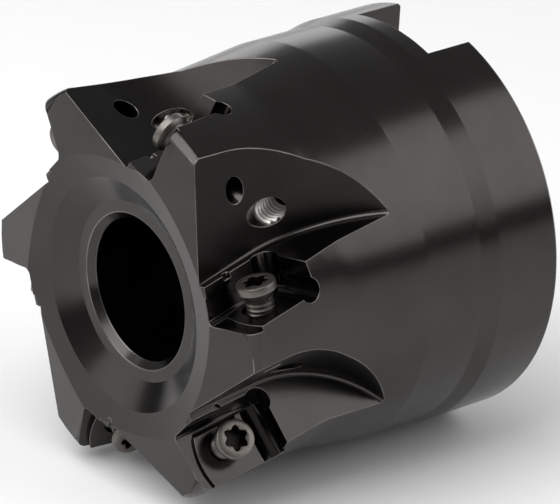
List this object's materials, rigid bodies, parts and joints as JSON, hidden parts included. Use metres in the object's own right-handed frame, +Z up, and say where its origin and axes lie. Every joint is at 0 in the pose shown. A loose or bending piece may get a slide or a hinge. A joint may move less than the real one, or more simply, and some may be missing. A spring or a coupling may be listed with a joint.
{
  "type": "face mill",
  "caption": "Shell-type face mill body with indexable insert seats, chip gullets, Torx insert screws, arbor bore, screw-head recess and rear drive slot.",
  "frame": {"origin": "centre of the rear (arbor) face, on the arbor bore axis; the cutter lies on its side as pictured", "axes": "+Y along the tool axis out of the rear face, towards the arbor; the teeth point along -Y; +Z up; +X to the right seen from the teeth"},
  "size_m": [0.0368, 0.0342, 0.0368],
  "materials": {
    "black_oxide_steel": "satin black oxide over turned and milled steel",
    "screw_steel": "satin, warm grey"
  },
  "bodies": {
    "cutter": {"cutter_body": "black_oxide_steel"},
    "screw_1": {"insert_screw_1": "screw_steel"},
    "screw_2": {"insert_screw_2": "screw_steel"},
    "screw_3": {"insert_screw_3": "screw_steel"},
    "screw_4": {"insert_screw_4": "screw_steel"},
    "screw_5": {"insert_screw_5": "screw_steel"},
    "screw_6": {"insert_screw_6": "screw_steel"}
  },
  "joints": [
    {"name": "screw_1_travel", "type": "slide", "parent": "cutter", "child": "screw_1", "axis": [0.7921, -0.1754, 0.5846], "range_m": [-0.0012, 0.003]},
    {"name": "screw_2_travel", "type": "slide", "parent": "cutter", "child": "screw_2", "axis": [-0.1103, -0.1754, 0.9783], "range_m": [-0.0012, 0.003]},
    {"name": "screw_3_travel", "type": "slide", "parent": "cutter", "child": "screw_3", "axis": [-0.9024, -0.1754, 0.3937], "range_m": [-0.0012, 0.003]},
    {"name": "screw_4_travel", "type": "slide", "parent": "cutter", "child": "screw_4", "axis": [-0.7921, -0.1754, -0.5846], "range_m": [-0.0012, 0.003]},
    {"name": "screw_5_travel", "type": "slide", "parent": "cutter", "child": "screw_5", "axis": [0.1103, -0.1754, -0.9783], "range_m": [-0.0012, 0.003]},
    {"name": "screw_6_travel", "type": "slide", "parent": "cutter", "child": "screw_6", "axis": [0.9024, -0.1754, -0.3937], "range_m": [-0.0012, 0.003]}
  ]
}
